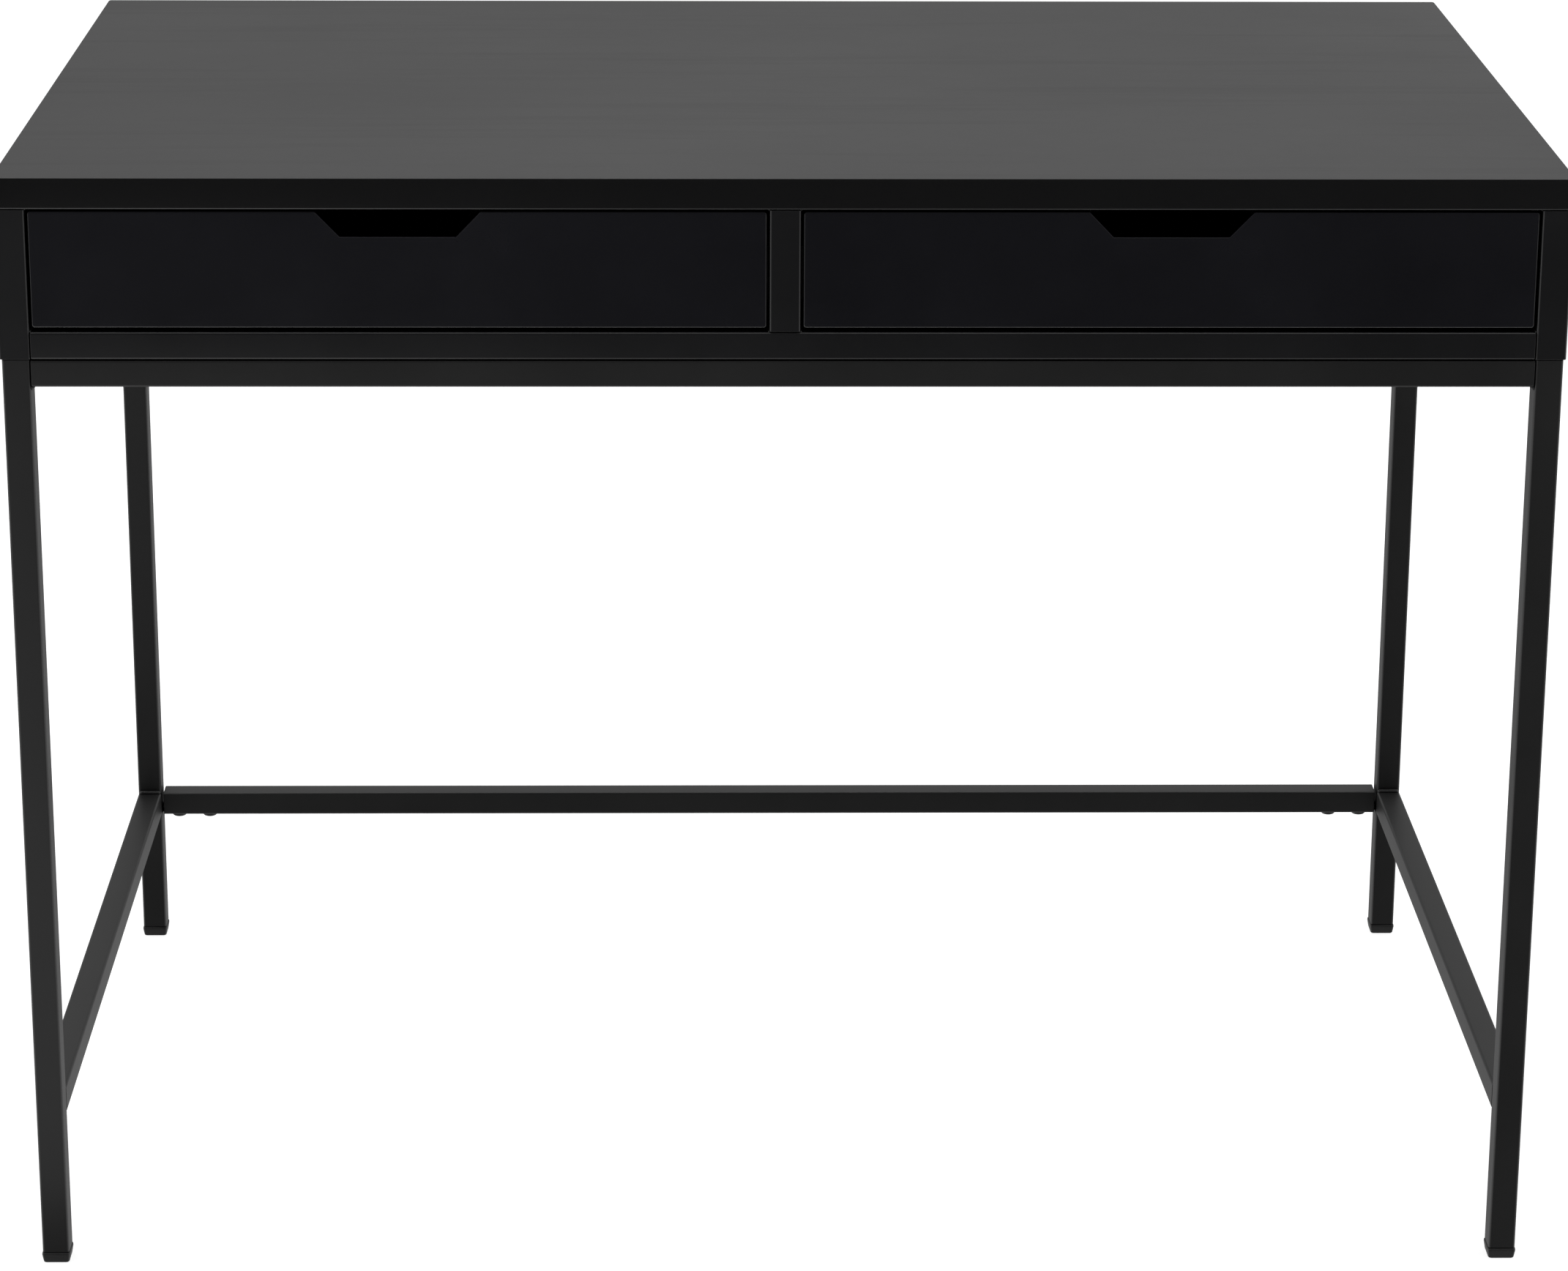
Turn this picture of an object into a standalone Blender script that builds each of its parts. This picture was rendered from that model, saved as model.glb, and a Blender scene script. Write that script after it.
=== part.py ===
"""Steel writing desk with two drawers, as separate folded-sheet, tube, runner and bolt pieces.

Units are metres. +Z is up, the front faces -Y, and the origin is on the floor under the middle.
"""
import math

import bmesh
import bpy
from mathutils import Vector

# Overall size
DESK_WIDTH = 1.000
DESK_DEPTH = 0.600
DESK_HEIGHT = 0.750
JOIN_GAP = 0.0004  # clearance kept wherever two pieces touch

# Tabletop: a folded tray with its open side down
TOP_EDGE = 0.0205
TOP_SHEET = 0.0012
TOP_RETURN = 0.014
TOP_RADIUS = 0.0012

# Case under the tabletop
CASE_HEIGHT = 0.1185  # with the tabletop's edge
CASE_INSET = 0.0005  # how far the tabletop stands proud of the case
CASE_SHEET = 0.0010
POST = 0.020
POST_WALL = 0.0015
CASE_RAIL_HEIGHT = 0.018
CASE_TUBE_RADIUS = 0.0016
PANEL_FLANGE = 0.022
BACK_FLANGE = 0.0126
SPACER_HEIGHT = 0.040

# Drawers
FRONT_SIDE_GAP = 0.00175
FRONT_TOP_GAP = 0.0014
FRONT_HEIGHT = 0.0757
FRONT_DEPTH = 0.012
FRONT_SHEET = 0.0012
FRONT_RADIUS = 0.0009
NOTCH_TOP_WIDTH = 0.105
NOTCH_BOTTOM_WIDTH = 0.0735
NOTCH_DEPTH = 0.0165
BOX_DEPTH = 0.452
BOX_HEIGHT = 0.060
BOX_RAISE = 0.0026  # underside of the drawer box above the underside of its front
BOX_SHEET = 0.0009
BOX_FLANGE = 0.012
BOX_RETURN = 0.008

# Drawer runners: three nested channels
RUNNER_LENGTH = 0.450
RUNNER_SETBACK = 0.003  # behind the back edge of the drawer front
RUNNER_DEPTH = 0.012
RUNNER_SHEET = 0.0012
RUNNER_HEIGHT_IN_BOX = 0.030
CASE_PROFILE_HEIGHT = 0.035
CASE_PROFILE_LIP = 0.0095
MIDDLE_PROFILE_HEIGHT = 0.027
MIDDLE_PROFILE_START = 0.0022
MIDDLE_PROFILE_LIP = 0.0065
MIDDLE_PROFILE_TRIM = 0.010
DRAWER_PROFILE_HEIGHT = 0.020
DRAWER_PROFILE_LIP = 0.0078

# Leg frame
TUBE = 0.018
TUBE_WALL = 0.0012
TUBE_RADIUS = 0.0018
FRAME_INSET_X = 0.002
FRAME_INSET_Y = 0.001
RUNG_TOP = 0.121
FOOT_HEIGHT = 0.008
FOOT_PROUD = 0.0005
FOOT_PLUG = 0.012

# Bolts, and the tabs that carry the back rung
BOLT_RADIUS = 0.003
BOLT_HEAD_RADIUS = 0.0058
BOLT_HEAD_HEIGHT = 0.0030
BOLT_SOCKET_RADIUS = 0.0018
BOLT_SOCKET_DEPTH = 0.0016
BOLT_CLEARANCE = 0.0003
BOLT_SEGMENTS = 20
RUNG_END_GAP = 0.0015
TAB_WIDTH = 0.0140
TAB_THICKNESS = 0.004
TAB_LENGTH = 0.048
TAB_RADIUS = 0.0008
RUNG_BOLT_OFFSETS = {"outer": 0.013, "inner": 0.037}
RUNG_BOLT_LENGTH = 0.010
FRAME_BOLT_Y = 0.200
FRAME_BOLT_PAST_SHEET = 0.006

# Worked out from the sizes above
CASE_BOTTOM = DESK_HEIGHT - CASE_HEIGHT
CASE_TOP = DESK_HEIGHT - TOP_EDGE
CASE_X = DESK_WIDTH / 2 - CASE_INSET
CASE_Y = DESK_DEPTH / 2 - CASE_INSET
BAY_OUTER = CASE_X - POST
BAY_INNER = POST / 2
BAY_CENTRE = (BAY_OUTER + BAY_INNER) / 2
BAY_HALF = (BAY_OUTER - BAY_INNER) / 2
BEHIND_POSTS = -CASE_Y + POST + JOIN_GAP
PANEL_INNER_X = CASE_X - CASE_SHEET
PANEL_INNER_Y = CASE_Y - CASE_SHEET
SHEET_LEVEL = CASE_BOTTOM + CASE_SHEET + JOIN_GAP
PANEL_BACK = CASE_Y - BACK_FLANGE - JOIN_GAP
FRONT_FACE = -CASE_Y + CASE_INSET
FRONT_TOP = CASE_TOP - FRONT_TOP_GAP
FRONT_BOTTOM = FRONT_TOP - FRONT_HEIGHT
BOX_FRONT = FRONT_FACE + FRONT_DEPTH + JOIN_GAP
BOX_BACK = BOX_FRONT + BOX_DEPTH
BOX_BOTTOM = FRONT_BOTTOM + BOX_RAISE
BOX_TOP = BOX_BOTTOM + BOX_HEIGHT
BOX_HALF = BAY_HALF - RUNNER_DEPTH - 2 * JOIN_GAP
RUNNER_FRONT = FRONT_FACE + FRONT_DEPTH + RUNNER_SETBACK
RUNNER_MIDDLE_Y = RUNNER_FRONT + RUNNER_LENGTH / 2
RUNNER_Z = BOX_BOTTOM + RUNNER_HEIGHT_IN_BOX
FRAME_X = DESK_WIDTH / 2 - FRAME_INSET_X
FRAME_Y = DESK_DEPTH / 2 - FRAME_INSET_Y
LEG_X = FRAME_X - TUBE / 2
LEG_Y = FRAME_Y - TUBE / 2
FRAME_TOP = CASE_BOTTOM - JOIN_GAP
RAIL_SPAN_X = 2 * (LEG_X - TUBE / 2 - JOIN_GAP)
RAIL_SPAN_Y = 2 * (LEG_Y - TUBE / 2 - JOIN_GAP)
RAIL_Z = FRAME_TOP - TUBE / 2
RUNG_Z = RUNG_TOP - TUBE / 2
LEG_INNER_X = LEG_X - TUBE / 2

CORNER_STEPS = 3
SIDES = {"left": -1, "right": 1}
ENDS = {"front": -1, "back": 1}


# Scene and materials
def clear_scene():
    """Removes every object that the scene starts with."""
    for thing in list(bpy.data.objects):
        bpy.data.objects.remove(thing, do_unlink=True)


def make_material(name, colour, roughness, metallic):
    """A plain Principled material in one colour."""
    material = bpy.data.materials.new(name)
    material.use_nodes = True
    shader = material.node_tree.nodes["Principled BSDF"]
    shader.inputs["Base Color"].default_value = (*colour, 1.0)
    shader.inputs["Roughness"].default_value = roughness
    shader.inputs["Metallic"].default_value = metallic
    material.diffuse_color = (*colour, 1.0)
    return material


# Outlines: every one is a list of (a, b) points
def rounded_rectangle(half_a, half_b, radius, steps=CORNER_STEPS):
    """A rectangle about the origin with an arc of the given radius at each corner."""
    points = []
    for corner, (sign_a, sign_b) in enumerate(((1, 1), (-1, 1), (-1, -1), (1, -1))):
        for step in range(steps + 1):
            angle = math.pi / 2 * (corner + step / steps)
            a = sign_a * (half_a - radius) + radius * math.cos(angle)
            b = sign_b * (half_b - radius) + radius * math.sin(angle)
            points.append((a, b))
    return points


def circle(radius, steps=BOLT_SEGMENTS):
    """A circle about the origin."""
    angles = [2 * math.pi * step / steps for step in range(steps)]
    return [(radius * math.cos(angle), radius * math.sin(angle)) for angle in angles]


def folded_outline(path, thickness):
    """The section of a folded sheet: the path is one face, and the metal lies on its left."""
    corners = [Vector(point) for point in path]
    normals = []
    for start, end in zip(corners, corners[1:]):
        along = (end - start).normalized()
        normals.append(Vector((-along.y, along.x)))
    offset = []
    for index, corner in enumerate(corners):
        before = normals[max(index - 1, 0)]
        after = normals[min(index, len(normals) - 1)]
        mitre = (before + after) / (1 + before.dot(after))
        offset.append(corner + mitre * thickness)
    return [tuple(point) for point in corners + offset[::-1]]


# Solids
def on_axis(outline, along, axis):
    """Stands an outline's points across the X, Y or Z axis, at one distance along it."""
    if axis == "X":
        return [Vector((along, a, b)) for a, b in outline]
    if axis == "Y":
        return [Vector((a, along, b)) for a, b in outline]
    return [Vector((a, b, along)) for a, b in outline]


def loft(name, rings, material, location, parent=None, closed=False):
    """One closed body through rings of equal length, capped at its ends or joined into a tube."""
    mesh = bpy.data.meshes.new(name)
    shape = bmesh.new()
    loops = [[shape.verts.new(point) for point in ring] for ring in rings]
    following = loops[1:] + loops[:1] if closed else loops[1:]
    for near, far in zip(loops, following):
        for index in range(len(near)):
            after = (index + 1) % len(near)
            shape.faces.new((near[index], near[after], far[after], far[index]))
    if not closed:
        shape.faces.new(loops[0])
        shape.faces.new(loops[-1])
    bmesh.ops.recalc_face_normals(shape, faces=shape.faces)
    shape.to_mesh(mesh)
    shape.free()
    mesh.shade_smooth()
    mesh.set_sharp_from_angle(angle=math.radians(35))
    piece = bpy.data.objects.new(name, mesh)
    piece.location = location
    piece.data.materials.append(material)
    bpy.context.scene.collection.objects.link(piece)
    if parent is not None:
        piece.parent = parent
        piece.location = Vector(location) - parent.location
    return piece


def prism(name, outline, length, axis, material, location, parent=None):
    """An outline stretched along an axis, centred on its location along that axis."""
    rings = [on_axis(outline, along, axis) for along in (-length / 2, length / 2)]
    return loft(name, rings, material, location, parent)


def tube(name, width, height, wall, radius, length, axis, material, location):
    """A hollow rectangular tube with open ends and rounded corners."""
    outer = rounded_rectangle(width / 2, height / 2, radius)
    inner_radius = max(radius - wall, wall / 4)
    inner = rounded_rectangle(width / 2 - wall, height / 2 - wall, inner_radius)
    half = length / 2
    rings = [
        on_axis(outer, -half, axis),
        on_axis(outer, half, axis),
        on_axis(inner, half, axis),
        on_axis(inner, -half, axis),
    ]
    return loft(name, rings, material, location, closed=True)


def pan_rings(half_a, half_b, depth, sheet, lip, radius, axis, inwards):
    """Rings of a folded pan: from its face, round the edge, along the lip and up inside."""
    shrink = radius * (1 - math.cos(math.pi / 4))
    steps = [
        (radius, 0),
        (shrink, shrink),
        (0, radius),
        (0, depth - radius),
        (shrink, depth - shrink),
        (radius, depth),
    ]
    if lip > sheet:
        steps += [(lip, depth), (lip, depth - sheet), (sheet, depth - sheet)]
    else:
        steps += [(sheet, depth)]
    steps.append((sheet, sheet))
    rings = []
    for inset, along in steps:
        corner = max(2 * radius - inset, sheet / 4)
        outline = rounded_rectangle(half_a - inset, half_b - inset, corner)
        rings.append(on_axis(outline, inwards * along, axis))
    return rings


def cut(target, name, rings_list, location):
    """Cuts closed shapes out of a piece. The cutter stays as a hidden guide."""
    mesh = bpy.data.meshes.new(name)
    shape = bmesh.new()
    for near, far in rings_list:
        first = [shape.verts.new(point) for point in near]
        last = [shape.verts.new(point) for point in far]
        for index in range(len(first)):
            after = (index + 1) % len(first)
            shape.faces.new((first[index], first[after], last[after], last[index]))
        shape.faces.new(first)
        shape.faces.new(last)
    bmesh.ops.recalc_face_normals(shape, faces=shape.faces)
    shape.to_mesh(mesh)
    shape.free()
    cutter = bpy.data.objects.new(name, mesh)
    cutter.location = location
    cutter.hide_render = True
    cutter.display_type = "WIRE"
    bpy.context.scene.collection.objects.link(cutter)
    boolean = target.modifiers.new("cut", "BOOLEAN")
    boolean.operation = "DIFFERENCE"
    boolean.solver = "EXACT"
    boolean.object = cutter
    return cutter


def drill(target, name, centres, low, high):
    """Drills upright bolt holes at the given (x, y) places."""
    outline = circle(BOLT_RADIUS + BOLT_CLEARANCE)
    rings_list = []
    for centre in centres:
        placed = [(a + centre[0], b + centre[1]) for a, b in outline]
        rings_list.append((on_axis(placed, low, "Z"), on_axis(placed, high, "Z")))
    return cut(target, name, rings_list, (0, 0, 0))


def joint_empty(name, location):
    """An empty that stands on a slide's axis and carries the pieces that slide."""
    empty = bpy.data.objects.new(name, None)
    empty.location = location
    bpy.context.scene.collection.objects.link(empty)
    return empty


# Tabletop and case
def build_tabletop(steel):
    """The folded top, whose lip turns inwards under its edge."""
    rings = pan_rings(
        DESK_WIDTH / 2, DESK_DEPTH / 2, TOP_EDGE, TOP_SHEET, TOP_RETURN, TOP_RADIUS, "Z", -1
    )
    loft("tabletop", rings, steel, (0, 0, DESK_HEIGHT))


def build_case_front(steel):
    """The three front posts, and the rail that closes the case below the drawers."""
    depth = -CASE_Y + POST / 2
    height = CASE_TOP - JOIN_GAP - CASE_BOTTOM
    middle = CASE_BOTTOM + height / 2
    for side, sign in SIDES.items():
        place = (sign * (CASE_X - POST / 2), depth, middle)
        tube(f"front_post_{side}", POST, POST, POST_WALL, CASE_TUBE_RADIUS, height, "Z", steel, place)

    foot = CASE_BOTTOM + CASE_RAIL_HEIGHT + JOIN_GAP
    short = CASE_TOP - JOIN_GAP - foot
    place = (0, depth, foot + short / 2)
    tube("front_post_centre", POST, POST, POST_WALL, CASE_TUBE_RADIUS, short, "Z", steel, place)

    span = 2 * (BAY_OUTER - JOIN_GAP)
    place = (0, depth, CASE_BOTTOM + CASE_RAIL_HEIGHT / 2)
    tube(
        "case_front_rail", POST, CASE_RAIL_HEIGHT, POST_WALL, CASE_TUBE_RADIUS, span, "X", steel, place
    )


def build_side_panels(steel):
    """A folded channel on each side, with flanges turned inwards at its top and bottom."""
    height = CASE_TOP - JOIN_GAP - CASE_BOTTOM
    length = PANEL_BACK - BEHIND_POSTS
    place_y = BEHIND_POSTS + length / 2
    for side, sign in SIDES.items():
        path = [(-sign * PANEL_FLANGE, 0), (0, 0), (0, height), (-sign * PANEL_FLANGE, height)]
        if sign < 0:
            path.reverse()
        outline = folded_outline(path, CASE_SHEET)
        panel = prism(
            f"side_panel_{side}", outline, length, "Y", steel, (sign * CASE_X, place_y, CASE_BOTTOM)
        )
        bolts = frame_bolt_places(sign)
        drill(panel, f"side_panel_holes_{side}", bolts, CASE_BOTTOM - TUBE, SHEET_LEVEL)


def build_back_panel(steel):
    """The back, a pan the full width of the case with its four edges folded forwards."""
    height = CASE_TOP - JOIN_GAP - CASE_BOTTOM
    rings = pan_rings(CASE_X, height / 2, BACK_FLANGE, CASE_SHEET, 0, CASE_SHEET, "Y", -1)
    loft("back_panel", rings, steel, (0, CASE_Y, CASE_BOTTOM + height / 2))


def build_bottom_panel(steel):
    """The flat sheet that closes the case from below, resting on the side panels' flanges."""
    length = PANEL_BACK - BEHIND_POSTS
    outline = rounded_rectangle(PANEL_INNER_X - JOIN_GAP, CASE_SHEET / 2, CASE_SHEET / 8, 1)
    middle = (0, BEHIND_POSTS + length / 2, SHEET_LEVEL + CASE_SHEET / 2)
    panel = prism("bottom_panel", outline, length, "Y", steel, middle)
    bolts = [place for sign in SIDES.values() for place in frame_bolt_places(sign)]
    drill(panel, "bottom_panel_holes", bolts, CASE_BOTTOM, SHEET_LEVEL + TUBE)


def build_divider(steel):
    """The channel between the bays: a floor and two walls that carry the inner runners."""
    bottom = SHEET_LEVEL + CASE_SHEET + JOIN_GAP
    height = CASE_TOP - CASE_SHEET - 2 * JOIN_GAP - bottom
    half = BAY_INNER - JOIN_GAP
    path = [(-half, height), (-half, 0), (half, 0), (half, height)]
    outline = folded_outline(path, CASE_SHEET)
    length = PANEL_INNER_Y - JOIN_GAP - BEHIND_POSTS
    prism("centre_divider", outline, length, "Y", steel, (0, BEHIND_POSTS + length / 2, bottom))


def build_runner_spacers(steel):
    """A channel on each side panel that brings the outer runners flush with the posts."""
    length = PANEL_BACK - BEHIND_POSTS
    face = BAY_OUTER + JOIN_GAP
    reach = PANEL_INNER_X - JOIN_GAP - face
    for side, sign in SIDES.items():
        path = [
            (sign * reach, -SPACER_HEIGHT / 2),
            (0, -SPACER_HEIGHT / 2),
            (0, SPACER_HEIGHT / 2),
            (sign * reach, SPACER_HEIGHT / 2),
        ]
        if sign > 0:
            path.reverse()
        outline = folded_outline(path, CASE_SHEET)
        place = (sign * face, BEHIND_POSTS + length / 2, RUNNER_Z)
        prism(f"runner_spacer_{side}", outline, length, "Y", steel, place)


# Drawers
def build_drawer_front(side, centre, steel, slide):
    """The folded front, with the finger notch cut through its face and its top return."""
    rings = pan_rings(
        BAY_HALF - FRONT_SIDE_GAP, FRONT_HEIGHT / 2, FRONT_DEPTH, FRONT_SHEET, 0, FRONT_RADIUS, "Y", 1
    )
    middle = (centre, FRONT_FACE, FRONT_BOTTOM + FRONT_HEIGHT / 2)
    front = loft(f"{side}_drawer_front", rings, steel, middle, slide)

    above = NOTCH_DEPTH  # the cutter carries the notch's slope on past the top edge
    slope = (NOTCH_TOP_WIDTH - NOTCH_BOTTOM_WIDTH) / 2 / NOTCH_DEPTH
    half_top = NOTCH_TOP_WIDTH / 2 + slope * above
    half_bottom = NOTCH_BOTTOM_WIDTH / 2
    outline = [
        (-half_bottom, -NOTCH_DEPTH),
        (half_bottom, -NOTCH_DEPTH),
        (half_top, above),
        (-half_top, above),
    ]
    reach = FRONT_DEPTH * 2
    rings_list = [(on_axis(outline, -reach, "Y"), on_axis(outline, reach, "Y"))]
    cutter = cut(front, f"{side}_notch_cutter", rings_list, (centre, FRONT_FACE, FRONT_TOP))
    cutter.parent = slide
    cutter.location = cutter.location - slide.location


def build_drawer_box(side, centre, steel, slide):
    """The sides, floor and back behind a drawer front."""
    middle_y = BOX_FRONT + BOX_DEPTH / 2
    for hand, sign in SIDES.items():
        path = [
            (-sign * BOX_FLANGE, 0),
            (0, 0),
            (0, BOX_HEIGHT),
            (-sign * BOX_RETURN, BOX_HEIGHT),
        ]
        if sign < 0:
            path.reverse()
        outline = folded_outline(path, BOX_SHEET)
        place = (centre + sign * BOX_HALF, middle_y, BOX_BOTTOM)
        prism(f"{side}_drawer_side_{hand}", outline, BOX_DEPTH, "Y", steel, place, slide)

    inner = BOX_HALF - BOX_SHEET - JOIN_GAP
    floor = rounded_rectangle(inner, BOX_SHEET / 2, BOX_SHEET / 8, 1)
    level = BOX_BOTTOM + BOX_SHEET + JOIN_GAP
    place = (centre, middle_y, level + BOX_SHEET / 2)
    prism(f"{side}_drawer_floor", floor, BOX_DEPTH, "Y", steel, place, slide)

    foot = level + BOX_SHEET + JOIN_GAP
    height = BOX_TOP - BOX_SHEET - JOIN_GAP - foot
    path = [(0, 0), (0, height), (-BOX_RETURN, height)]
    outline = folded_outline(path, BOX_SHEET)
    place = (centre, BOX_BACK, foot)
    prism(f"{side}_drawer_back", outline, 2 * inner, "X", steel, place, slide)


# Runners
def channel_outline(height, lip, sign):
    """A runner's C section, open towards sign along the first axis."""
    path = [(sign * lip, -height / 2), (0, -height / 2), (0, height / 2), (sign * lip, height / 2)]
    if sign > 0:
        path.reverse()
    return folded_outline(path, RUNNER_SHEET)


def build_runner(side, position, wall, inwards, zinc, drawer_slide, middle_slide):
    """The three channels of one runner, from the case's wall towards the drawer."""
    name = f"{side}_runner_{position}"
    wall = wall + inwards * JOIN_GAP

    outline = channel_outline(CASE_PROFILE_HEIGHT, CASE_PROFILE_LIP, inwards)
    place = (wall, RUNNER_MIDDLE_Y, RUNNER_Z)
    prism(f"{name}_case_profile", outline, RUNNER_LENGTH, "Y", zinc, place)

    outline = channel_outline(MIDDLE_PROFILE_HEIGHT, MIDDLE_PROFILE_LIP, inwards)
    place = (wall + inwards * MIDDLE_PROFILE_START, RUNNER_MIDDLE_Y, RUNNER_Z)
    length = RUNNER_LENGTH - 2 * MIDDLE_PROFILE_TRIM
    prism(f"{name}_middle_profile", outline, length, "Y", zinc, place, middle_slide)

    outline = channel_outline(DRAWER_PROFILE_HEIGHT, DRAWER_PROFILE_LIP, -inwards)
    place = (wall + inwards * RUNNER_DEPTH, RUNNER_MIDDLE_Y, RUNNER_Z)
    prism(f"{name}_drawer_profile", outline, RUNNER_LENGTH, "Y", zinc, place, drawer_slide)


def build_bay(side, sign, steel, zinc):
    """One drawer with its two runners."""
    centre = sign * BAY_CENTRE
    drawer_slide = joint_empty(f"{side}_drawer_slide", (centre, FRONT_FACE, RUNNER_Z))
    middle_slide = joint_empty(f"{side}_runner_slide", (centre, RUNNER_FRONT, RUNNER_Z))
    build_drawer_front(side, centre, steel, drawer_slide)
    build_drawer_box(side, centre, steel, drawer_slide)
    build_runner(side, "outer", sign * BAY_OUTER, -sign, zinc, drawer_slide, middle_slide)
    build_runner(side, "inner", sign * BAY_INNER, sign, zinc, drawer_slide, middle_slide)


# Leg frame
def frame_bolt_places(sign):
    """Where the frame's bolts stand on one side, as (x, y)."""
    return [(sign * LEG_X, end * FRAME_BOLT_Y) for end in ENDS.values()]


def square_tube(name, length, axis, steel, location):
    """A length of the frame's square tube."""
    return tube(name, TUBE, TUBE, TUBE_WALL, TUBE_RADIUS, length, axis, steel, location)


def build_legs(steel):
    """Four upright legs, each standing on its foot cap."""
    length = FRAME_TOP - FOOT_HEIGHT
    for end, end_sign in ENDS.items():
        for side, sign in SIDES.items():
            place = (sign * LEG_X, end_sign * LEG_Y, FOOT_HEIGHT + length / 2)
            square_tube(f"leg_{end}_{side}", length, "Z", steel, place)


def build_foot_caps(plastic):
    """A plug that fills the end of each leg, with a rim that tapers to the floor."""
    rim_top = FOOT_HEIGHT - JOIN_GAP
    rim = TUBE / 2 + FOOT_PROUD
    plug = TUBE / 2 - TUBE_WALL - JOIN_GAP
    steps = [
        (rim - 0.0016, 0),
        (rim - 0.0008, 0.0008),
        (rim, rim_top - 0.0020),
        (rim, rim_top - 0.0006),
        (rim - 0.0006, rim_top),
        (plug, rim_top),
        (plug, FOOT_HEIGHT + FOOT_PLUG - 0.0015),
        (plug - 0.0012, FOOT_HEIGHT + FOOT_PLUG),
    ]
    rings = []
    for half, level in steps:
        outline = rounded_rectangle(half, half, TUBE_RADIUS * half / rim)
        rings.append(on_axis(outline, level, "Z"))
    for end, end_sign in ENDS.items():
        for side, sign in SIDES.items():
            place = (sign * LEG_X, end_sign * LEG_Y, 0)
            loft(f"foot_cap_{end}_{side}", rings, plastic, place)


def build_frame_rails(steel):
    """Four top rails between the legs, and a low rung on each side."""
    for end, end_sign in ENDS.items():
        place = (0, end_sign * LEG_Y, RAIL_Z)
        square_tube(f"frame_rail_{end}", RAIL_SPAN_X, "X", steel, place)
    for side, sign in SIDES.items():
        place = (sign * LEG_X, 0, RAIL_Z)
        rail = square_tube(f"frame_rail_{side}", RAIL_SPAN_Y, "Y", steel, place)
        bolts = frame_bolt_places(sign)
        drill(rail, f"frame_rail_holes_{side}", bolts, RAIL_Z - TUBE, RAIL_Z + TUBE)
        square_tube(f"side_rung_{side}", RAIL_SPAN_Y, "Y", steel, (sign * LEG_X, 0, RUNG_Z))


def rung_bolt_places(sign):
    """Where the back rung's bolts stand at one end, as (x, y) by name."""
    places = {}
    for name, offset in RUNG_BOLT_OFFSETS.items():
        places[name] = (sign * (LEG_INNER_X - offset), LEG_Y)
    return places


def build_back_rung(steel):
    """The rung between the back legs, and the welded tabs inside its ends."""
    length = 2 * (LEG_INNER_X - RUNG_END_GAP)
    rung = square_tube("back_rung", length, "X", steel, (0, LEG_Y, RUNG_Z))
    floor = RUNG_TOP - TUBE
    bolts = [place for sign in SIDES.values() for place in rung_bolt_places(sign).values()]
    drill(rung, "back_rung_holes", bolts, floor - TUBE_WALL, floor + 2 * TUBE_WALL)

    level = floor + TUBE_WALL + JOIN_GAP
    outline = rounded_rectangle(TAB_WIDTH / 2, TAB_THICKNESS / 2, TAB_RADIUS)
    for side, sign in SIDES.items():
        middle_x = sign * (LEG_INNER_X - JOIN_GAP - TAB_LENGTH / 2)
        place = (middle_x, LEG_Y, level + TAB_THICKNESS / 2)
        tab = prism(f"rung_tab_{side}", outline, TAB_LENGTH, "X", steel, place)
        bolts = list(rung_bolt_places(sign).values())
        drill(tab, f"rung_tab_holes_{side}", bolts, level - TUBE_WALL, level + 2 * TAB_THICKNESS)


# Bolts
def build_bolt(name, length, zinc, place, seat):
    """A button-head bolt, head down, whose head bears on a face at the seat's height."""
    head = BOLT_HEAD_HEIGHT
    steps = [
        (BOLT_SOCKET_RADIUS, BOLT_SOCKET_DEPTH - head),
        (BOLT_SOCKET_RADIUS, -head),
        (BOLT_HEAD_RADIUS * 0.62, -head * 0.94),
        (BOLT_HEAD_RADIUS * 0.88, -head * 0.62),
        (BOLT_HEAD_RADIUS, -head * 0.18),
        (BOLT_HEAD_RADIUS, 0),
        (BOLT_RADIUS, 0),
        (BOLT_RADIUS, length - 0.0006),
        (BOLT_RADIUS - 0.0006, length),
    ]
    rings = [on_axis(circle(radius), along, "Z") for radius, along in steps]
    loft(name, rings, zinc, (place[0], place[1], seat - JOIN_GAP))


def build_bolts(zinc):
    """Four bolts up through the side rails into the case, and four under the back rung."""
    case_length = SHEET_LEVEL + CASE_SHEET + FRAME_BOLT_PAST_SHEET - (RAIL_Z - TUBE / 2)
    for side, sign in SIDES.items():
        for end, place in zip(ENDS, frame_bolt_places(sign)):
            build_bolt(f"frame_bolt_{end}_{side}", case_length, zinc, place, RAIL_Z - TUBE / 2)
        for position, place in rung_bolt_places(sign).items():
            name = f"rung_bolt_{side}_{position}"
            build_bolt(name, RUNG_BOLT_LENGTH, zinc, place, RUNG_TOP - TUBE)


def build_desk():
    """Makes every piece of the desk."""
    clear_scene()
    steel = make_material("black_powder_coat", (0.020, 0.020, 0.022), 0.42, 0.0)
    zinc = make_material("black_zinc", (0.060, 0.060, 0.064), 0.35, 0.8)
    plastic = make_material("black_plastic", (0.016, 0.016, 0.017), 0.50, 0.0)

    build_tabletop(steel)
    build_case_front(steel)
    build_side_panels(steel)
    build_back_panel(steel)
    build_bottom_panel(steel)
    build_divider(steel)
    build_runner_spacers(steel)
    for side, sign in SIDES.items():
        build_bay(side, sign, steel, zinc)
    build_legs(steel)
    build_foot_caps(plastic)
    build_frame_rails(steel)
    build_back_rung(steel)
    build_bolts(zinc)


build_desk()
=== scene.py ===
"""The looks of the black steel writing desk: camera, studio, finishes, and its small visible details.

Units are metres, in the frame of the CAD model: +Z is up and the drawers open towards -Y.
"""
import math
from functools import reduce

import bmesh
import bpy
from mathutils import Matrix, Vector


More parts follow.
